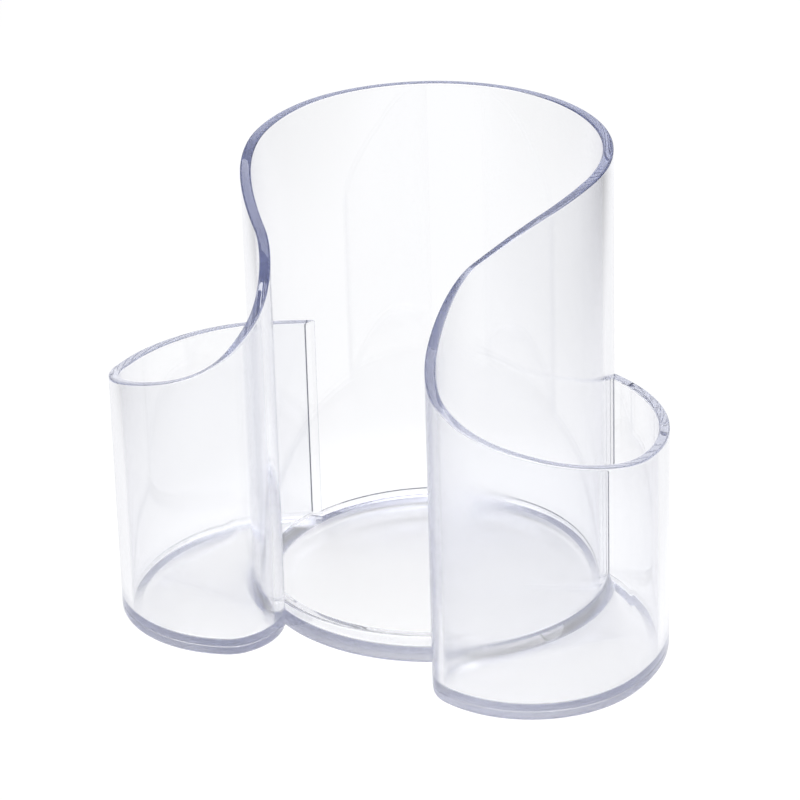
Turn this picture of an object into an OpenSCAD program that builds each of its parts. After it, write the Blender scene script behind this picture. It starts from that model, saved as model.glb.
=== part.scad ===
// Pen holder cup: a clear plastic desk cup with a tall round compartment, open
// at the front, and a lower pocket on each side of the opening.
// Millimetres, +Z up, and the opening faces -Y. The origin is on the underside,
// on the axis of the tall compartment, and the left half mirrors the right half.

/* [Tall compartment] */
// Outer diameter of the tall round wall
cup_d = 77.2; // [74:0.2:82]
// Height of the rim at the back
cup_h = 100; // [90:1:115]
// Thickness of every wall
wall = 2.25; // [1.8:0.05:2.8]
// Width of the front opening, as an angle at the axis
opening_angle = 81.2; // [76:0.2:86]

/* [Side pockets] */
// Outer radius of the fold where the tall wall turns into a pocket
fold_r = 14; // [13:0.1:15]
// Angle that the fold turns through
fold_turn = 86; // [82:0.5:90]
// Outer radius of the tight bend after the fold
nose_r = 8.4; // [7:0.1:10]
// Angle that the tight bend turns through
nose_turn = 33.6; // [30:0.2:36]
// Outer radius of the round outer end of a pocket
belly_r = 25.9; // [24:0.1:27]
// Angle that the round outer end turns through
belly_turn = 97.2; // [94:0.2:100]
// Outer radius of the flank that runs back to the tall wall
flank_r = 39.3; // [37:0.1:42]
// Height of the rim at the back end of a pocket
pocket_h = 49.2; // [40:0.2:60]

/* [Base plate and sill] */
// Thickness of the base plate that the walls stand on
plate_t = 2.2; // [1.6:0.1:3]
// Height, above the plate, of the sloped kerb along the foot of each wall
kerb_h = 1.2; // [0.8:0.1:1.6]
// Width of the kerb
kerb_w = 2.5; // [1.5:0.1:3]
// Height of the low sill across the front opening
sill_h = 6.4; // [5.4:0.1:12]
// Size of the small bevels along the rim
rim_bevel = 0.3; // [0.1:0.05:0.5]

/* [Hidden] */
clear_tint = [0.80, 0.84, 0.93, 0.45];
base_tint = [0.66, 0.71, 0.84, 0.60];

cup_r = cup_d / 2;
bore_r = cup_r - wall;
rad = PI / 180;
// Facet sizes: degrees of turn for each ring of points
back_step = 3;
bend_step = 4;

// Direction of the joint between the back shell and the right pocket shell
seam_a = opening_angle / 2 - 90;

// Height of the rim along half the wall, from the middle of the back to the
// tail of a pocket: [part of the run, part of the drop that is left]
rim_shape = [
    [0, 1], [0.18, 1], [0.294, 0.984], [0.36, 0.939], [0.436, 0.795], [0.502, 0.504],
    [0.569, 0.293], [0.64, 0.193], [0.711, 0.110], [0.777, 0.051], [0.872, 0.018], [1, 0]
];

function polar(r, a) = r * [cos(a), sin(a)];
function flipped(points) = [for (i = [len(points) - 1:-1:0]) [-points[i].x, points[i].y]];

// The pocket's wall is four arcs, each tangent to the last: [outer radius, turn].
// The flank's turn follows from where it meets the tall wall.
arcs = [[fold_r, fold_turn], [nose_r, nose_turn], [belly_r, belly_turn], [flank_r, 0]];
last_arc = len(arcs) - 1;

// Direction from an arc's centre to the arc's first point
function arc_start(i) = i == 0 ? seam_a + 180 : arc_start(i - 1) + arcs[i - 1][1];

// Centre of an arc, on the line through the point that it shares with the last one
function arc_centre(i) = i == 0
    ? polar(bore_r + fold_r, seam_a)
    : arc_centre(i - 1) + polar(arcs[i - 1][0] - arcs[i][0], arc_start(i));

flank_c = arc_centre(last_arc);
flank_d = norm(flank_c);

// Direction, from the axis, of the point where one face of the flank meets a
// circle round the axis, and the direction of that point from the flank's centre
function meet_a(r, axis_r = cup_r) = atan2(flank_c.y, flank_c.x)
    + acos((axis_r ^ 2 + flank_d ^ 2 - r ^ 2) / (2 * axis_r * flank_d));
function flank_end(r, axis_r = cup_r) =
    let (p = polar(axis_r, meet_a(r, axis_r)) - flank_c) atan2(p.y, p.x) + 360;

function arc_end(i) = i < last_arc
    ? arc_start(i + 1)
    : (flank_end(flank_r) + flank_end(flank_r - wall)) / 2;
function arc_length(i) = (arc_end(i) - arc_start(i)) * rad * (arcs[i][0] - wall / 2);

// Run along the middle of the wall, from the middle of the back
back_run = (90 - seam_a) * rad * (cup_r - wall / 2);
function run_to(i) = i == 0 ? back_run : run_to(i - 1) + arc_length(i - 1);
whole_run = run_to(last_arc) + arc_length(last_arc);

// Rim height at a run: a smooth curve with no overshoot through rim_shape
function slope(i) = (rim_shape[i + 1][1] - rim_shape[i][1]) / (rim_shape[i + 1][0] - rim_shape[i][0]);
function tangent(i) = i == 0 || i == len(rim_shape) - 1 ? 0
    : let (a = slope(i - 1), b = slope(i)) a * b <= 0 ? 0 : 2 * a * b / (a + b);
function piece_of(u, i = 0) = i == len(rim_shape) - 2 || u <= rim_shape[i + 1][0] ? i : piece_of(u, i + 1);
function drop_left(u) = let (
        i = piece_of(u),
        w = rim_shape[i + 1][0] - rim_shape[i][0],
        q = (u - rim_shape[i][0]) / w
    )
    (2 * q ^ 3 - 3 * q ^ 2 + 1) * rim_shape[i][1] + (q ^ 3 - 2 * q ^ 2 + q) * w * tangent(i)
    + (3 * q ^ 2 - 2 * q ^ 3) * rim_shape[i + 1][1] + (q ^ 3 - q ^ 2) * w * tangent(i + 1);
function rim_z(run) = pocket_h + (cup_h - pocket_h) * drop_left(min(1, abs(run) / whole_run));

// A station of a wall is [point on the pocket side, point on the front side, run].
// Stations of the back shell, as directions from the axis, down its right half
function spread(from, to, step) = let (n = ceil(abs(to - from) / step))
    [for (i = [1:n]) from + (to - from) * i / n];
right_half = concat(
    spread(90, meet_a(flank_r), back_step),
    [meet_a(flank_r - wall)],
    spread(meet_a(flank_r - wall), seam_a, back_step)
);
function back_station(a) = [polar(cup_r, a), polar(bore_r, a), (90 - a) * rad * (cup_r - wall / 2)];
back_stations = concat(
    [for (i = [len(right_half) - 1:-1:0]) back_station(180 - right_half[i])],
    [back_station(90)],
    [for (a = right_half) back_station(a)]
);

// Stations of the right pocket shell, from the seam to the tail. One of them
// stands at the corner where the fold leaves the disc of the tall compartment.
fold_c = arc_centre(0);
fold_d = norm(fold_c);
corner_a = atan2(fold_c.y, fold_c.x)
    - acos((cup_r ^ 2 + fold_d ^ 2 - fold_r ^ 2) / (2 * cup_r * fold_d));
corner_dir = let (p = polar(cup_r, corner_a) - fold_c) atan2(p.y, p.x);
corner_part = (corner_dir - arc_start(0)) / fold_turn;
corner_count = ceil(corner_part * fold_turn / bend_step);
function arc_parts(i) = i == 0
    ? concat(
        [0],
        [for (j = [1:corner_count]) corner_part * j / corner_count],
        spread(corner_part, 1, bend_step / fold_turn)
    )
    : spread(0, 1, bend_step / (arc_end(i) - arc_start(i)));
function arc_stations(i) = let (
        r = arcs[i][0],
        a0 = arc_start(i),
        front_end = i < last_arc ? arc_end(i) : flank_end(r),
        back_end = i < last_arc ? arc_end(i) : flank_end(r - wall)
    )
    [for (u = arc_parts(i)) [
        arc_centre(i) + polar(r - wall, a0 + (back_end - a0) * u),
        arc_centre(i) + polar(r, a0 + (front_end - a0) * u),
        run_to(i) + arc_length(i) * u
    ]];
pocket_stations = [for (i = [0:last_arc]) each arc_stations(i)];

// A wall: one closed ring of points at each station, from the plate to the rim
function ring(s) = let (
        z = rim_z(s[2]),
        across = (s[0] - s[1]) / norm(s[0] - s[1]) * rim_bevel
    )
    [
        [s[0].x, s[0].y, plate_t],
        [s[0].x, s[0].y, z - rim_bevel],
        [s[0].x - across.x, s[0].y - across.y, z],
        [s[1].x + across.x, s[1].y + across.y, z],
        [s[1].x, s[1].y, z - rim_bevel],
        [s[1].x, s[1].y, plate_t]
    ];
module swept_wall(stations) {
    m = 6;
    last = len(stations) - 1;
    sides = [
        for (i = [0:last - 1], j = [0:m - 1])
        let (a = i * m + j, b = i * m + (j + 1) % m)
        each [[a, b, b + m], [a, b + m, a + m]]
    ];
    start_cap = [for (j = [m - 1:-1:0]) j];
    end_cap = [for (j = [0:m - 1]) last * m + j];
    polyhedron([for (s = stations) each ring(s)], concat([start_cap], sides, [end_cap]));
}

// Outlines of the base plate and the sill, on the same points as the walls' faces
function but_last(points) = [for (i = [0:len(points) - 2]) points[i]];
function arc(r, from, to) = [for (a = spread(from, to, back_step)) polar(r, a)];
tail_a = meet_a(flank_r);
inner_tail_a = meet_a(flank_r - wall);
back_count = len(back_stations);
pocket_count = len(pocket_stations);
front_edge = concat([polar(cup_r, -180 - corner_a)], arc(cup_r, -180 - corner_a, corner_a));
pocket_front = [for (i = [corner_count + 1:pocket_count - 1]) pocket_stations[i][1]];
pocket_wall = [for (s = pocket_stations) s[0]];
fold_start = [for (i = [corner_count - 1:-1:0]) pocket_stations[i][1]];
bore_wall = [for (i = [back_count - 1:-1:0]) back_stations[i][1]];
sill_back = but_last(arc(bore_r, seam_a, -180 - seam_a));
back_edge = but_last(arc(cup_r, tail_a, 180 - tail_a));

footprint = concat(front_edge, pocket_front, back_edge, flipped(pocket_front));
bore_floor = concat(bore_wall, but_last(arc(bore_r, -180 - seam_a, seam_a)));
pocket_floor = concat(pocket_wall, but_last(arc(cup_r, inner_tail_a, seam_a)));
sill_outline = concat(front_edge, fold_start, sill_back, flipped(fold_start));

// The kerbs' inner edges, point for point with the outlines above
kerb_r = cup_r + kerb_w;
function kerb_arc(i) = let (
        r = arcs[i][0] - wall - kerb_w,
        a0 = arc_start(i),
        a1 = i < last_arc ? arc_end(i) : flank_end(r, kerb_r)
    )
    [for (u = arc_parts(i)) arc_centre(i) + polar(r, a0 + (a1 - a0) * u)];
kerb_tail_a = meet_a(flank_r - wall - kerb_w, kerb_r);
kerb_back_count = len(pocket_floor) - pocket_count;
bore_kerb = [for (p = bore_floor) p * (bore_r - kerb_w) / bore_r];
pocket_kerb = concat(
    [for (i = [0:last_arc]) each kerb_arc(i)],
    [for (i = [1:kerb_back_count]) polar(kerb_r, kerb_tail_a + (seam_a - kerb_tail_a) * i / (kerb_back_count + 1))]
);

// A kerb: four rings of points, of which the lowest two are sunk into the plate
module kerb(outer, inner) {
    n = len(outer);
    rings = [[outer, plate_t / 2], [outer, plate_t + kerb_h], [inner, plate_t], [inner, plate_t / 2]];
    points = [for (r = rings) each [for (p = r[0]) [p.x, p.y, r[1]]]];
    faces = [
        for (k = [0:3], i = [0:n - 1])
        let (j = (i + 1) % n, a = k * n, b = (k + 1) % 4 * n)
        each [[a + i, b + i, b + j], [a + i, b + j, a + j]]
    ];
    polyhedron(points, faces);
}

// One plate under all three compartments, with a sloped kerb along each wall's foot
module base_plate() {
    color(base_tint) {
        linear_extrude(plate_t) polygon(footprint);
        kerb(bore_floor, bore_kerb);
        kerb(pocket_floor, pocket_kerb);
        kerb(flipped(pocket_floor), flipped(pocket_kerb));
    }
}

// Low curved wall across the opening, between the two folds
module front_sill() {
    color(clear_tint) translate([0, 0, plate_t]) linear_extrude(sill_h - plate_t) polygon(sill_outline);
}

// Tall C-shaped wall of the main compartment
module back_shell() {
    color(clear_tint) swept_wall(back_stations);
}

// Folded wall of one pocket, from the seam round to the outside of the tall wall
module right_pocket_shell() {
    color(clear_tint) swept_wall(pocket_stations);
}
module left_pocket_shell() {
    mirror([1, 0, 0]) right_pocket_shell();
}

base_plate();
back_shell();
left_pocket_shell();
right_pocket_shell();
front_sill();
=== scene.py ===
import bpy
import bmesh
import math
from mathutils import Vector, Matrix
from mathutils.geometry import tessellate_polygon


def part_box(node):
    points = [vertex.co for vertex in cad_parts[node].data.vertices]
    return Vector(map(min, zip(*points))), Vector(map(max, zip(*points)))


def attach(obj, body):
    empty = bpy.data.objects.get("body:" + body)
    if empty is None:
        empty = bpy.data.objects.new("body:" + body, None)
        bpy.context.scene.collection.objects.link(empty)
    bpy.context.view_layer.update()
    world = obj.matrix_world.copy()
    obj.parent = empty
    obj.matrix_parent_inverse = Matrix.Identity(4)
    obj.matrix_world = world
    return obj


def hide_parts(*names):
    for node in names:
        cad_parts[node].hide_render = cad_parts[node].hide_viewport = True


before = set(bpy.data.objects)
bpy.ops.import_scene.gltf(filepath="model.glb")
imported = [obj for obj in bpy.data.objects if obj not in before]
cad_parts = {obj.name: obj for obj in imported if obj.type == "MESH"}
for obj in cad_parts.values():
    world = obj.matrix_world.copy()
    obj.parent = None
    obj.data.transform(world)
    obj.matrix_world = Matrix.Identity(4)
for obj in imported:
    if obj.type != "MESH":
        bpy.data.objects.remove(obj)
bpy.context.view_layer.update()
print("frame loaded:", ", ".join(sorted(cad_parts)))

# The outline is worked out in millimetres and scaled on the way into a mesh
mm = 0.001
cup = dict(
    outerRadius=38.6,
    wall=2.25,
    openingAngle=81.2,
    foldRadius=14.0,
    foldTurn=86.0,
    noseRadius=8.4,
    noseTurn=33.6,
    bellyRadius=25.9,
    bellyTurn=97.2,
    flankRadius=39.3,
    flankTurn=70,     # nearly; it only says how finely the flank is cut
    tailHeight=49.2,
    height=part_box("back_shell")[1].z / mm,
    kerbTop=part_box("base_plate")[1].z / mm,
    kerbWidth=2.5,
    ledgeTop=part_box("back_shell")[0].z / mm,
    sillTop=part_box("front_sill")[1].z / mm,
    # part of the way along the wall, and part of the drop that is left there
    rim=[(0, 1), (0.18, 1), (0.294, 0.984), (0.36, 0.939), (0.436, 0.795), (0.502, 0.504),
         (0.569, 0.293), (0.64, 0.193), (0.711, 0.110), (0.777, 0.051), (0.872, 0.018), (1, 0)],
    bond=0.012,       # clearance left between two bonded faces
    skin=0.002,       # how far the outside stays within the CAD's
    tailNotch=0.16,   # small bevels on the end of each tail
    rightSoft=0.21,   # roughness of the tight bends
    leftSoft=0.06,
    softRise=20,      # degrees of the fold over which it rises
    softFade=45,      # and degrees of the belly over which it fades
    beadFrom=12,      # a bead of dried cement along the back joint, in degrees round the axis
    beadTo=150.6,
    beadHeight=0.35,
    backStep=1.0,     # degrees between stations of the round wall
    bendStep=1.5,     # and of the bends
)
outerR = cup["outerRadius"]
boreR = outerR - cup["wall"]
seamAngle = cup["openingAngle"] / 2 - 90
arcRadii = [cup["foldRadius"], cup["noseRadius"], cup["bellyRadius"], cup["flankRadius"]]
arcTurns = [cup["foldTurn"], cup["noseTurn"], cup["bellyTurn"]]


def polar(r, a):
    return Vector((r * math.cos(math.radians(a)), r * math.sin(math.radians(a))))


def angleOf(p):
    return math.degrees(math.atan2(p.y, p.x))


def spread(start, end, step):
    n = max(1, math.ceil(abs(end - start) / step))
    return [start + (end - start) * i / n for i in range(n + 1)]


# Each bend of a pocket starts where the last one ends and shares its tangent there
arcStarts = [seamAngle + 180]
arcCentres = [polar(boreR + cup["foldRadius"], seamAngle)]
for i, turn in enumerate(arcTurns):
    arcStarts.append(arcStarts[i] + turn)
    arcCentres.append(arcCentres[i] + polar(arcRadii[i] - arcRadii[i + 1], arcStarts[i + 1]))
foldCentre, flankCentre = arcCentres[0], arcCentres[-1]


# Where a circle round a bend's centre crosses a circle round the cup's axis, as an angle at the axis
def crossing(centre, r, axisR, side):
    d = centre.length
    return angleOf(centre) + side * math.degrees(math.acos((axisR**2 + d**2 - r**2) / (2 * axisR * d)))


def cornerAngle(r, axisR):
    return crossing(foldCentre, r, axisR, -1)


def tailAngle(r, axisR):
    return crossing(flankCentre, r, axisR, 1)


# Angles along the four bends, as (bend, angle), for a face that ends on a circle of radius axisR
def bendAngles(inset, axisR):
    tail = angleOf(polar(axisR, tailAngle(cup["flankRadius"] - inset, axisR)) - flankCentre) + 360
    ends = arcStarts[1:] + [tail]
    counts = [math.ceil(t / cup["bendStep"]) for t in arcTurns + [cup["flankTurn"]]]
    out = []
    for i, n in enumerate(counts):
        for j in range(0 if i == 0 else 1, n + 1):
            out.append((i, arcStarts[i] + (ends[i] - arcStarts[i]) * j / n))
    return out


def bendPoints(inset, axisR):
    return [arcCentres[i] + polar(arcRadii[i] - inset, a) for i, a in bendAngles(inset, axisR)]


def mirrored(points):
    return [Vector((-p.x, p.y)) for p in reversed(points)]


# Rim height: a smooth curve through cup["rim"] that never overshoots it
rimKeys = cup["rim"]
rimSlopes = [(b[1] - a[1]) / (b[0] - a[0]) for a, b in zip(rimKeys, rimKeys[1:])]
rimTangents = [0.0]
for a, b in zip(rimSlopes, rimSlopes[1:]):
    rimTangents.append(0.0 if a * b <= 0 else 2 * a * b / (a + b))
rimTangents.append(0.0)


def rimHeight(part):
    u = min(1.0, abs(part))
    i = next((k for k in range(len(rimKeys) - 2) if u <= rimKeys[k + 1][0]), len(rimKeys) - 2)
    w = rimKeys[i + 1][0] - rimKeys[i][0]
    q = (u - rimKeys[i][0]) / w
    left = ((2 * q**3 - 3 * q**2 + 1) * rimKeys[i][1] + (q**3 - 2 * q**2 + q) * w * rimTangents[i]
            + (3 * q**2 - 2 * q**3) * rimKeys[i + 1][1] + (q**3 - q**2) * w * rimTangents[i + 1])
    return cup["tailHeight"] + (cup["height"] - cup["tailHeight"]) * left


# Stations of the walls: a point on the pocket side, one on the front side,
# and how far along the run they are
backRun = math.radians(90 - seamAngle) * (outerR - cup["wall"] / 2)
notch = cup["tailNotch"]
pocketSide = bendPoints(cup["wall"], outerR + notch)
frontSide = bendPoints(cup["skin"], outerR + notch)
tailTips = [polar(outerR + cup["bond"], tailAngle(cup["flankRadius"] - inset, outerR + cup["bond"]))
            for inset in (cup["wall"], 0.0)]
alongTail = (tailTips[1] - tailTips[0]).normalized() * notch
pocketSide.append(tailTips[0] + alongTail)
frontSide.append(tailTips[1] - alongTail)
pocketRun = [0.0]
for i in range(1, len(frontSide)):
    middle = (pocketSide[i] + frontSide[i]) / 2
    before = (pocketSide[i - 1] + frontSide[i - 1]) / 2
    pocketRun.append(pocketRun[-1] + (middle - before).length)
wholeRun = backRun + pocketRun[-1]

tailOuter = tailAngle(cup["flankRadius"], outerR)
tailInner = tailAngle(cup["flankRadius"] - cup["wall"], outerR)
notchAngle = math.degrees(notch / outerR)
sealOuter, sealInner = tailOuter - notchAngle, tailInner + notchAngle
halfAngles = [90]
for stop in (tailOuter, sealOuter, sealInner, tailInner, seamAngle):
    halfAngles += spread(halfAngles[-1], stop, cup["backStep"])[1:]
backAngles = [180 - a for a in reversed(halfAngles[1:])] + halfAngles


# Marks on faces: a bonded face lets light cross the joint as in one solid, a cement face is a line
# of dried cement, and a satin face is part of the underside
openFace, bondedFace, cementFace, satinFace = range(4)
meshLimits = dict(weld=1e-7, sliver=1e-8)


def makeObject(name, verts, faces, marks, bends=None, sharpAngle=28):
    mesh = bpy.data.meshes.new(name)
    bm = bmesh.new()
    made = [bm.verts.new((v[0] * mm, v[1] * mm, v[2] * mm)) for v in verts]
    layers = [bm.faces.layers.float.new(n) for n in ("bonded", "cemented", "satin")]
    bendLayer = bm.faces.layers.float.new("bend")
    for f, mark, bend in zip(faces, marks, bends or [0.0] * len(faces)):
        if len(set(f)) > 2:
            try:
                face = bm.faces.new([made[i] for i in f])
            except ValueError:
                continue
            for k, layer in enumerate(layers):
                face[layer] = 1.0 if mark == bondedFace + k else 0.0
            face[bendLayer] = bend
            face.smooth = True
    bmesh.ops.remove_doubles(bm, verts=bm.verts, dist=meshLimits["weld"])
    bmesh.ops.dissolve_degenerate(bm, dist=meshLimits["sliver"], edges=bm.edges)
    bmesh.ops.recalc_face_normals(bm, faces=bm.faces)
    for e in bm.edges:
        if len(e.link_faces) == 2:
            a, b = e.link_faces
            if a.normal.length > 0 and b.normal.length > 0:
                e.smooth = (a.normal.angle(b.normal) < math.radians(sharpAngle)
                            and all(a[layer] == b[layer] for layer in layers))
    loose = [e for e in bm.edges if not e.is_manifold]
    bm.to_mesh(mesh)
    bm.free()
    obj = bpy.data.objects.new(name, mesh)
    bpy.context.scene.collection.objects.link(obj)
    print(f"{name}: {len(mesh.polygons)} faces, {len(loose)} open edges")
    return obj


# ---- walls
wallShape = dict(rimRound=0.45, roundSteps=5, support=0.25, groove=0.10, jointRise=2, slack=0.01)
footZ = cup["ledgeTop"] + cup["bond"]
bondTop = cup["kerbTop"]
jointTop = bondTop + wallShape["jointRise"]


# One closed ring of points round the wall's section: up the pocket side, over the rim,
# and down the front side
def wallRing(a, b, top, footIn, extra):
    across = (b - a).normalized()
    s = wallShape
    side = [(footIn[0], footZ), (0.0, footZ + s["groove"]), (0.0, bondTop), (0.0, extra[0]),
            (0.0, top - s["rimRound"] - s["support"])]
    for k in range(s["roundSteps"] + 1):
        t = math.radians(90 * k / s["roundSteps"])
        side.append((s["rimRound"] * (1 - math.cos(t)), top - s["rimRound"] * (1 - math.sin(t))))
    other = [(footIn[1], footZ), (0.0, footZ + s["groove"]), (0.0, bondTop), (0.0, extra[1])] + side[4:]
    up = [(a.x + across.x * d, a.y + across.y * d, z) for d, z in side]
    down = [(b.x - across.x * d, b.y - across.y * d, z) for d, z in reversed(other)]
    return up + down


# tied says which sides are bonded up to bondTop, and joined which are bonded up to their extra level;
# cement is the station where a line of cement starts, and softness is the roughness at each station
def buildWall(name, stations, tied, joined, cement=None, softness=None):
    rings = [wallRing(*s) for s in stations]
    m = len(rings[0])
    verts = [v for ring in rings for v in ring]
    faces, marks, bends = [], [], []
    for i in range(len(rings) - 1):
        for j in range(m):
            k = (j + 1) % m
            faces.append((i * m + j, i * m + k, (i + 1) * m + k, (i + 1) * m + j))
            side, level = (0, j) if j < m // 2 else (1, m - 2 - j)
            sealed = j == m - 1 or (level < 2 and tied(i, side)) or (level < 3 and joined(i, side))
            beaded = i == cement and side == 0 and level > 1
            marks.append(bondedFace if sealed else cementFace if beaded else openFace)
            bends.append(softness[i] if softness and 1 < level < 4 and not sealed else 0.0)
    for ring in (0, len(rings) - 1):
        faces.append([ring * m + j for j in range(m)])
        marks.append(bondedFace)
        bends.append(0.0)
    return makeObject(name, verts, faces, marks, bends)


def backStation(angle):
    fromBack = abs(angle - 90)
    run = math.radians(fromBack) * (outerR - cup["wall"] / 2)
    insidePocket = fromBack > 90 - tailOuter + wallShape["slack"]
    groove = 0.0 if insidePocket else wallShape["groove"]
    return (polar(outerR, angle), polar(boreR, angle), rimHeight(run / wholeRun), (groove, 0.0),
            (cup["tailHeight"] - wallShape["rimRound"], jointTop))


def backTied(i, side):
    middle = abs((backAngles[i] + backAngles[i + 1]) / 2 - 90)
    return side == 1 or middle > 90 - tailInner


def backJoined(i, side):
    middle = abs((backAngles[i] + backAngles[i + 1]) / 2 - 90)
    return side == 0 and 90 - sealOuter < middle < 90 - sealInner


backShell = buildWall("backShell", [backStation(a) for a in backAngles], backTied, backJoined)

cornerStation = next(i for i, p in enumerate(frontSide) if p.length > outerR)
pocketStations = []
for i, (p, f, r) in enumerate(zip(pocketSide, frontSide, pocketRun)):
    groove = wallShape["groove"] if i >= cornerStation else 0.0
    top = rimHeight((backRun + r) / wholeRun)
    pocketStations.append((p, f, top, (0.0, groove), (jointTop, cup["sillTop"])))


def pocketTied(i, side):
    return side == 0 or i < cornerStation


def pocketJoined(i, side):
    return side == 1 and i < cornerStation


# The surface is a little soft in the tight bends, where the sheet was heated
noseEnd = math.ceil(cup["foldTurn"] / cup["bendStep"]) + math.ceil(cup["noseTurn"] / cup["bendStep"])
softEnd = noseEnd + cup["softFade"] / cup["bendStep"]
softness = [max(0.0, min(1.0, (softEnd - i) / (softEnd - noseEnd), i * cup["bendStep"] / cup["softRise"]))
            for i in range(len(pocketStations))]
rightPocketShell = buildWall("rightPocketShell", pocketStations, pocketTied, pocketJoined,
                             len(pocketStations) - 2, [v * cup["rightSoft"] for v in softness])
leftStations = [(Vector((-p.x, p.y)), Vector((-f.x, f.y)), z, g, e) for p, f, z, g, e in pocketStations]
leftPocketShell = buildWall("leftPocketShell", leftStations, pocketTied, pocketJoined,
                            len(leftStations) - 2, [v * cup["leftSoft"] for v in softness])


# ---- base plate, and its outlines drawn in by an inset
basePlateShape = dict(bottomRound=1.0, roundSteps=6, support=0.2, groove=0.10, kerbSteps=6, kerbSag=0.08,
                      frontCuts=60, backCuts=140, pocketCuts=66, boreCuts=360)


def footprint(inset, frontInset=None):
    s = basePlateShape
    inset += cup["skin"]
    front = inset if frontInset is None else frontInset + cup["skin"]
    corner = cornerAngle(cup["foldRadius"] - inset, outerR - front)
    count = s["frontCuts"]
    start, sweep = -180 - corner, 180 + 2 * corner
    points = [polar(outerR - front, start + sweep * i / count) for i in range(count + 1)]
    # the fold starts at the corner here, so its angles are squeezed to end where the nose starts
    cornerDir = angleOf(polar(outerR - front, corner) - foldCentre) % 360
    squeeze = (arcStarts[1] - cornerDir) / cup["foldTurn"]
    bends = [arcCentres[i] + polar(arcRadii[i] - inset, a if i else cornerDir + (a - arcStarts[0]) * squeeze)
             for i, a in bendAngles(inset, outerR - inset)][1:]
    points += bends
    tail = tailAngle(cup["flankRadius"] - inset, outerR - inset)
    count = s["backCuts"]
    points += [polar(outerR - inset, tail + (180 - 2 * tail) * i / count) for i in range(1, count)]
    return points + mirrored(bends)


def pocketOutline(inset):
    grow = outerR + inset
    points = bendPoints(cup["wall"] + inset, grow)
    tail = tailAngle(cup["flankRadius"] - cup["wall"] - inset, grow)
    count = basePlateShape["pocketCuts"]
    return points + [polar(grow, tail + (seamAngle - tail) * i / count) for i in range(1, count)]


def boreOutline(inset):
    count = basePlateShape["boreCuts"]
    return [polar(boreR - inset, 360 * i / count) for i in range(count)]


def buildBasePlate():
    s = basePlateShape
    verts, faces, marks = [], [], []

    def addRing(points, z):
        start = len(verts)
        verts.extend((p.x, p.y, z) for p in points)
        return list(range(start, start + len(points)))

    def addStrip(a, b, mark=openFace, beadable=False):
        for i in range(len(a)):
            k = (i + 1) % len(a)
            faces.append((a[i], a[k], b[k], b[i]))
            middle = Vector(verts[a[i]][:2]) + Vector(verts[a[k]][:2])
            beaded = beadable and cup["beadFrom"] < angleOf(middle) % 360 < cup["beadTo"]
            marks.append(cementFace if beaded else mark)

    rings = []
    for k in range(s["roundSteps"] + 1):
        t = math.radians(90 * k / s["roundSteps"])
        inset, z = s["bottomRound"] * (1 - math.sin(t)), s["bottomRound"] * (1 - math.cos(t))
        rings.append(addRing(footprint(inset), z))
    top = cup["ledgeTop"]
    rings.append(addRing(footprint(0.0), s["bottomRound"] + s["support"]))
    rings.append(addRing(footprint(0.0), top - s["groove"]))
    rings.append(addRing(footprint(s["groove"], 0.0), top))
    for a, b in zip(rings, rings[1:]):
        addStrip(a, b)
    faces.append(rings[0])
    marks.append(satinFace)
    holes = []
    islands = [boreOutline, pocketOutline, lambda d: mirrored(pocketOutline(d))]
    for outline in islands:
        foot = addRing(outline(cup["bond"]), top)
        bead = addRing(outline(cup["bond"]), bondTop - cup["beadHeight"])
        crest = addRing(outline(cup["bond"]), bondTop)
        holes.append(foot)
        addStrip(foot, bead, bondedFace)
        addStrip(bead, crest, bondedFace, outline is boreOutline)
        last = crest
        for k in range(1, s["kerbSteps"] + 1):
            part = k / s["kerbSteps"]
            sag = s["kerbSag"] * math.sin(math.pi * part)
            z = bondTop + (top - bondTop) * part - sag
            ring = addRing(outline(cup["bond"] + cup["kerbWidth"] * part), z)
            addStrip(last, ring)
            last = ring
        faces.append(last)
        marks.append(openFace)
    loops = [rings[-1]] + holes
    flat = [v for loop in loops for v in loop]
    for tri in tessellate_polygon([[Vector(verts[i]) for i in loop] for loop in loops]):
        faces.append([flat[i] for i in tri])
        marks.append(bondedFace)
    return makeObject("basePlate", verts, faces, marks)


basePlate = buildBasePlate()


# ---- the low sill across the opening
sillShape = dict(runCuts=60, endCuts=12)


def sillOutline(inset):
    fold = cup["foldRadius"] + cup["bond"]
    outer, inner = outerR - inset, boreR + inset
    outerEnd, innerEnd = cornerAngle(fold, outer), crossing(foldCentre, fold, inner, -1)
    n, endCuts = sillShape["runCuts"], sillShape["endCuts"]
    points = [polar(outer, -180 - outerEnd + (180 + 2 * outerEnd) * i / n) for i in range(n + 1)]
    a0 = angleOf(polar(outer, outerEnd) - foldCentre) % 360
    a1 = angleOf(polar(inner, innerEnd) - foldCentre) % 360
    end = [foldCentre + polar(fold, a0 + (a1 - a0) * i / endCuts) for i in range(1, endCuts + 1)]
    points += end
    points += [polar(inner, innerEnd + (-180 - 2 * innerEnd) * i / n) for i in range(1, n)]
    return points + mirrored(end)


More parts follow.
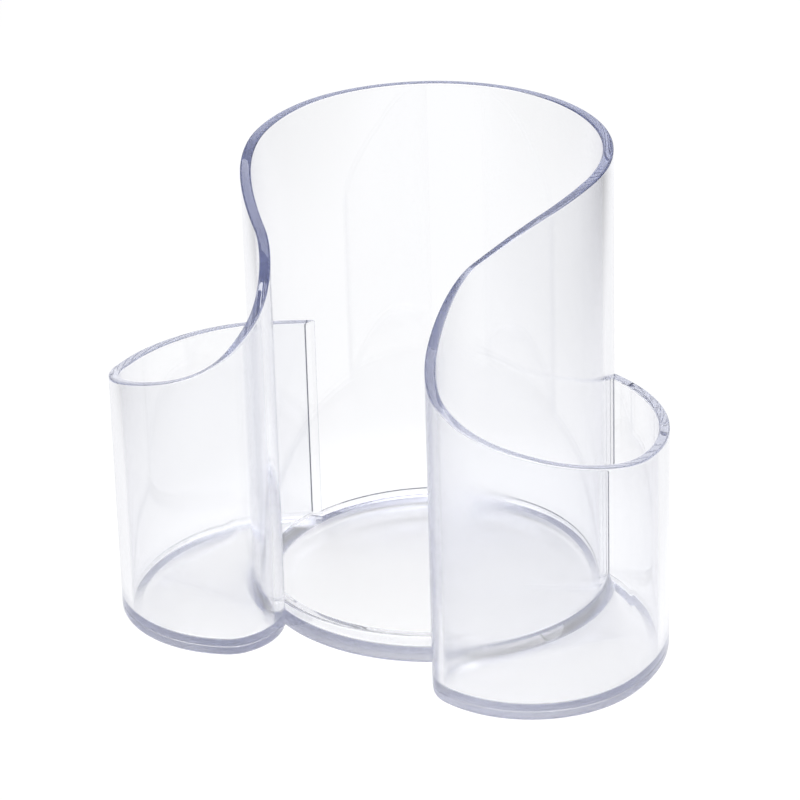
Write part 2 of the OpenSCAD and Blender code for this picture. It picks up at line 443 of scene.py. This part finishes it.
def buildSill():
    s = wallShape
    top = cup["sillTop"]
    levels = [(0.0, footZ), (0.0, bondTop), (0.0, top - s["rimRound"] - s["support"])]
    for k in range(s["roundSteps"] + 1):
        t = math.radians(90 * k / s["roundSteps"])
        levels.append((s["rimRound"] * (1 - math.cos(t)), top - s["rimRound"] * (1 - math.sin(t))))
    verts, faces, marks = [], [], []
    n, endCuts = sillShape["runCuts"], sillShape["endCuts"]
    for inset, z in levels:
        verts.extend((p.x, p.y, z) for p in sillOutline(inset))
    m = len(verts) // len(levels)
    for k in range(len(levels) - 1):
        for i in range(m):
            j = (i + 1) % m
            faces.append((k * m + i, k * m + j, (k + 1) * m + j, (k + 1) * m + i))
            atEnd = n <= i < n + endCuts or i >= m - endCuts
            atBore = n + endCuts <= i < m - endCuts
            marks.append(bondedFace if atEnd or (atBore and k == 0) else openFace)
    faces.append(list(range(m)))
    marks.append(bondedFace)
    faces.append([(len(levels) - 1) * m + i for i in range(m)])
    marks.append(openFace)
    return makeObject("frontSill", verts, faces, marks)


frontSill = buildSill()
print("pieces modelled")


# ---- clear plastic
clearPlastic = dict(
    ior=1.5,
    body=(0.955, 0.958, 0.968, 1),
    # painted shade: the darker, bluer colour given to surfaces met at a slant
    paintedSlantShade=(0.62, 0.62, 0.69, 1),
    slantBlend=0.5,
    slantPower=3.0,
    baseBody=(0.996, 0.996, 0.998, 1),
    absorb=(0.0, 0.10, 0.60, 1),
    density=3.7,
    baseAbsorb=(0.0, 0.06, 0.42, 1),
    baseDensity=12.0,
    roughLow=0.0,
    roughHigh=0.03,
    hazeScale=60,
    hazeDetail=4,
    hazeBand=(0.45, 0.75),
    cement=(0.62, 0.64, 0.70, 1),
    jointCloudAndShade=0.10,     # how cloudy the cement is, its grey partly painted shade, and how far that varies
    hazeSpread=0.4,
    cloudScale=700,
    cloudDetail=3,
    cloudBand=(0.3, 0.7),
    dried=(0.24, 0.25, 0.30, 1),
    satin=0.22,         # roughness of the underside
)


def clearMaterial(name, body, paintedSlantShade, absorb, density, jointCloudAndShade):
    p = clearPlastic
    mat = bpy.data.materials.new(name)
    mat.use_nodes = True
    nodes, links = mat.node_tree.nodes, mat.node_tree.links
    nodes.clear()
    out = nodes.new("ShaderNodeOutputMaterial")
    bsdf = nodes.new("ShaderNodeBsdfPrincipled")
    bsdf.inputs["Base Color"].default_value = body
    if paintedSlantShade:
        # painted shade: where a ray meets the surface at a slant, the colour is mixed toward a darker, bluer
        # tint, on top of the absorption in the volume, which darkens the walls' edges
        slant = nodes.new("ShaderNodeLayerWeight")
        slant.inputs["Blend"].default_value = p["slantBlend"]
        rise = nodes.new("ShaderNodeMath")
        rise.operation = "POWER"
        rise.inputs[1].default_value = p["slantPower"]
        slantShadeMix = nodes.new("ShaderNodeMixRGB")
        slantShadeMix.inputs[1].default_value = body
        slantShadeMix.inputs[2].default_value = paintedSlantShade
        links.new(slant.outputs["Facing"], rise.inputs[0])
        links.new(rise.outputs[0], slantShadeMix.inputs[0])
        links.new(slantShadeMix.outputs[0], bsdf.inputs["Base Color"])
    bsdf.inputs["IOR"].default_value = p["ior"]
    bsdf.inputs["Transmission Weight"].default_value = 1.0
    coords = nodes.new("ShaderNodeTexCoord")
    haze = nodes.new("ShaderNodeTexNoise")
    haze.inputs["Scale"].default_value = p["hazeScale"]
    haze.inputs["Detail"].default_value = p["hazeDetail"]
    links.new(coords.outputs["Object"], haze.inputs["Vector"])
    rough = nodes.new("ShaderNodeMapRange")
    rough.inputs["From Min"].default_value, rough.inputs["From Max"].default_value = p["hazeBand"]
    rough.inputs["To Min"].default_value = p["roughLow"]
    rough.inputs["To Max"].default_value = p["roughHigh"]
    links.new(haze.outputs["Fac"], rough.inputs["Value"])
    satin = nodes.new("ShaderNodeAttribute")
    satin.attribute_name = "satin"
    blur = nodes.new("ShaderNodeMath")
    blur.operation = "MULTIPLY_ADD"
    blur.inputs[1].default_value = p["satin"]
    links.new(satin.outputs["Fac"], blur.inputs[0])
    links.new(rough.outputs["Result"], blur.inputs[2])
    bend = nodes.new("ShaderNodeAttribute")
    bend.attribute_name = "bend"
    soft = nodes.new("ShaderNodeMath")
    soft.operation = "ADD"
    links.new(bend.outputs["Fac"], soft.inputs[0])
    links.new(blur.outputs[0], soft.inputs[1])
    links.new(soft.outputs[0], bsdf.inputs["Roughness"])
    clear = nodes.new("ShaderNodeBsdfTransparent")
    bond = nodes.new("ShaderNodeAttribute")
    bond.attribute_name = "bonded"
    mix = nodes.new("ShaderNodeMixShader")
    links.new(bond.outputs["Fac"], mix.inputs[0])
    line = nodes.new("ShaderNodeAttribute")
    line.attribute_name = "cemented"
    dried = nodes.new("ShaderNodeBsdfDiffuse")
    dried.inputs["Color"].default_value = p["dried"]
    seam = nodes.new("ShaderNodeMixShader")
    links.new(line.outputs["Fac"], seam.inputs[0])
    links.new(bsdf.outputs[0], seam.inputs[1])
    links.new(dried.outputs[0], seam.inputs[2])
    links.new(seam.outputs[0], mix.inputs[1])
    if jointCloudAndShade:
        # the cement in a joint dries a little cloudy; its grey also paints the shade under the walls' feet,
        # seen through the floor as a grey band
        cement = nodes.new("ShaderNodeBsdfTranslucent")
        cement.inputs["Color"].default_value = p["cement"]
        cloud = nodes.new("ShaderNodeTexNoise")
        cloud.inputs["Scale"].default_value = p["cloudScale"]
        cloud.inputs["Detail"].default_value = p["cloudDetail"]
        links.new(coords.outputs["Object"], cloud.inputs["Vector"])
        amount = nodes.new("ShaderNodeMapRange")
        amount.inputs["From Min"].default_value, amount.inputs["From Max"].default_value = p["cloudBand"]
        amount.inputs["To Min"].default_value = jointCloudAndShade * (1 - p["hazeSpread"])
        amount.inputs["To Max"].default_value = jointCloudAndShade * (1 + p["hazeSpread"])
        links.new(cloud.outputs["Fac"], amount.inputs["Value"])
        joint = nodes.new("ShaderNodeMixShader")
        links.new(amount.outputs["Result"], joint.inputs[0])
        links.new(clear.outputs[0], joint.inputs[1])
        links.new(cement.outputs[0], joint.inputs[2])
        links.new(joint.outputs[0], mix.inputs[2])
    else:
        links.new(clear.outputs[0], mix.inputs[2])
    links.new(mix.outputs[0], out.inputs["Surface"])
    volume = nodes.new("ShaderNodeVolumeAbsorption")
    volume.inputs["Color"].default_value = absorb
    volume.inputs["Density"].default_value = density
    links.new(volume.outputs[0], out.inputs["Volume"])
    return mat


look = clearPlastic
wallPlastic = clearMaterial("clearWalls", look["body"], look["paintedSlantShade"], look["absorb"],
                            look["density"], 0)
basePlastic = clearMaterial("clearBase", look["baseBody"], None, look["baseAbsorb"], look["baseDensity"],
                            look["jointCloudAndShade"])
pieces = [(basePlate, "base_plate"), (backShell, "back_shell"), (leftPocketShell, "left_pocket_shell"),
          (rightPocketShell, "right_pocket_shell"), (frontSill, "front_sill")]
for piece, node in pieces:
    piece.data.materials.append(basePlastic if piece is basePlate else wallPlastic)
    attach(piece, "root")
    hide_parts(node)
print("clear plastic applied")


# ---- floor, light and camera
view = dict(azimuth=26.70, elevation=25.58, roll=-1.65, distance=0.8803, lens=186.3, sensor=36, farEnd=20,
            target=(-0.00702, -0.00140, 0.04171))
stage = dict(floorSize=6.0, floorGlow=1.0, floorAlbedo=0.03, floorDrop=0.00002,
             poolHalf=0.105, poolFade=0.12, poolDim=0.30, paintedGlowUnderCup=1.09, underCupPoolFrom=0.052, underCupPoolTo=0.085)


def makeFloor():
    p = stage
    half = p["floorSize"] / 2
    mesh = bpy.data.meshes.new("studioFloor")
    corners = [(-half, -half, 0), (half, -half, 0), (half, half, 0), (-half, half, 0)]
    mesh.from_pydata(corners, [], [(0, 1, 2, 3)])
    floor = bpy.data.objects.new("studioFloor", mesh)
    floor.location.z = -p["floorDrop"]
    bpy.context.scene.collection.objects.link(floor)
    mat = bpy.data.materials.new("paleFloor")
    mat.use_nodes = True
    nodes, links = mat.node_tree.nodes, mat.node_tree.links
    nodes.clear()
    out = nodes.new("ShaderNodeOutputMaterial")
    coords = nodes.new("ShaderNodeTexCoord")
    # painted pool of light: the floor's glow and its colour fall off to either side of the view's line, from
    # full within poolHalf to poolDim, turned with the camera's azimuth
    turn = nodes.new("ShaderNodeMapping")
    turn.inputs["Rotation"].default_value[2] = math.radians(-view["azimuth"])
    split = nodes.new("ShaderNodeSeparateXYZ")
    across = nodes.new("ShaderNodeMath")
    across.operation = "ABSOLUTE"
    paintedLightPool = nodes.new("ShaderNodeMapRange")
    paintedLightPool.interpolation_type = "SMOOTHSTEP"
    paintedLightPool.inputs["From Min"].default_value = p["poolHalf"]
    paintedLightPool.inputs["From Max"].default_value = p["poolHalf"] + p["poolFade"]
    paintedLightPool.inputs["To Min"].default_value = 1.0
    paintedLightPool.inputs["To Max"].default_value = p["poolDim"]
    links.new(coords.outputs["Object"], turn.inputs["Vector"])
    links.new(turn.outputs["Vector"], split.inputs[0])
    links.new(split.outputs["X"], across.inputs[0])
    links.new(across.outputs[0], paintedLightPool.inputs["Value"])
    glow = nodes.new("ShaderNodeEmission")
    strength = nodes.new("ShaderNodeMath")
    strength.operation = "MULTIPLY"
    strength.inputs[1].default_value = p["floorGlow"]
    links.new(paintedLightPool.outputs["Result"], strength.inputs[0])
    # painted pool of light: the floor glows a little brighter under the cup
    reach = nodes.new("ShaderNodeVectorMath")
    reach.operation = "LENGTH"
    paintedGlowUnderCup = nodes.new("ShaderNodeMapRange")
    paintedGlowUnderCup.interpolation_type = "SMOOTHSTEP"
    paintedGlowUnderCup.inputs["From Min"].default_value = p["underCupPoolFrom"]
    paintedGlowUnderCup.inputs["From Max"].default_value = p["underCupPoolTo"]
    paintedGlowUnderCup.inputs["To Min"].default_value = p["paintedGlowUnderCup"]
    paintedGlowUnderCup.inputs["To Max"].default_value = 1.0
    glowWithPaintedPool = nodes.new("ShaderNodeMath")
    glowWithPaintedPool.operation = "MULTIPLY"
    links.new(coords.outputs["Object"], reach.inputs[0])
    links.new(reach.outputs["Value"], paintedGlowUnderCup.inputs["Value"])
    links.new(strength.outputs[0], glowWithPaintedPool.inputs[0])
    links.new(paintedGlowUnderCup.outputs["Result"], glowWithPaintedPool.inputs[1])
    links.new(glowWithPaintedPool.outputs[0], glow.inputs["Strength"])
    matte = nodes.new("ShaderNodeBsdfDiffuse")
    albedo = nodes.new("ShaderNodeMath")
    albedo.operation = "MULTIPLY"
    albedo.inputs[1].default_value = p["floorAlbedo"]
    links.new(paintedLightPool.outputs["Result"], albedo.inputs[0])
    links.new(albedo.outputs[0], matte.inputs["Color"])
    both = nodes.new("ShaderNodeAddShader")
    links.new(glow.outputs[0], both.inputs[0])
    links.new(matte.outputs[0], both.inputs[1])
    links.new(both.outputs[0], out.inputs["Surface"])
    floor.data.materials.append(mat)
    return floor


makeFloor()

# How bright the sky is, from level with the cup up to overhead
sky = dict(strength=1.0, blueness=1.01, keys=[(0.0, 0.75), (0.12, 0.5), (0.4, 0.25), (0.75, 0.45)])


def makeSky():
    world = bpy.data.worlds.new("studio")
    bpy.context.scene.world = world
    world.use_nodes = True
    nodes, links = world.node_tree.nodes, world.node_tree.links
    nodes.clear()
    out = nodes.new("ShaderNodeOutputWorld")
    back = nodes.new("ShaderNodeBackground")
    coords = nodes.new("ShaderNodeTexCoord")
    split = nodes.new("ShaderNodeSeparateXYZ")
    ramp = nodes.new("ShaderNodeValToRGB")
    while len(ramp.color_ramp.elements) < len(sky["keys"]):
        ramp.color_ramp.elements.new(0.5)
    for element, (at, level) in zip(ramp.color_ramp.elements, sky["keys"]):
        element.position = at
        element.color = (level, level, level * sky["blueness"], 1)
    links.new(coords.outputs["Generated"], split.inputs[0])
    links.new(split.outputs["Z"], ramp.inputs["Fac"])
    links.new(ramp.outputs["Color"], back.inputs["Color"])
    back.inputs["Strength"].default_value = sky["strength"]
    links.new(back.outputs[0], out.inputs["Surface"])


makeSky()

# One large soft box overhead
softBox = dict(side=1.1, place=(-0.05, 0.10, 0.95), level=3.1)


def makeSoftBox():
    data = bpy.data.lights.new("overhead", "AREA")
    data.shape = "SQUARE"
    data.size = softBox["side"]
    data.energy = softBox["level"] * softBox["side"]**2 * math.pi
    light = bpy.data.objects.new("overhead", data)
    light.location = softBox["place"]
    bpy.context.scene.collection.objects.link(light)


makeSoftBox()


def makeCamera():
    a, e, r = (math.radians(view[k]) for k in ("azimuth", "elevation", "roll"))
    back = Vector((math.sin(a) * math.cos(e), -math.cos(a) * math.cos(e), math.sin(e)))
    right = (-back).cross(Vector((0, 0, 1))).normalized()
    up = right.cross(-back)
    turnedRight = right * math.cos(r) + up * math.sin(r)
    turnedUp = up * math.cos(r) - right * math.sin(r)
    data = bpy.data.cameras.new("productCamera")
    data.lens = view["lens"]
    data.sensor_width = view["sensor"]
    data.clip_end = view["farEnd"]
    camera = bpy.data.objects.new("productCamera", data)
    bpy.context.scene.collection.objects.link(camera)
    turn = Matrix((turnedRight, turnedUp, back)).transposed().to_4x4()
    camera.matrix_world = Matrix.Translation(Vector(view["target"]) + back * view["distance"]) @ turn
    bpy.context.scene.camera = camera


makeCamera()
scene = bpy.context.scene
scene.view_settings.view_transform = "Standard"
scene.cycles.blur_glossy = 0.0
scene.cycles.max_bounces = 96
scene.cycles.transmission_bounces = 96
scene.cycles.transparent_max_bounces = 64
scene.cycles.glossy_bounces = 96
print("stage, light and camera ready")
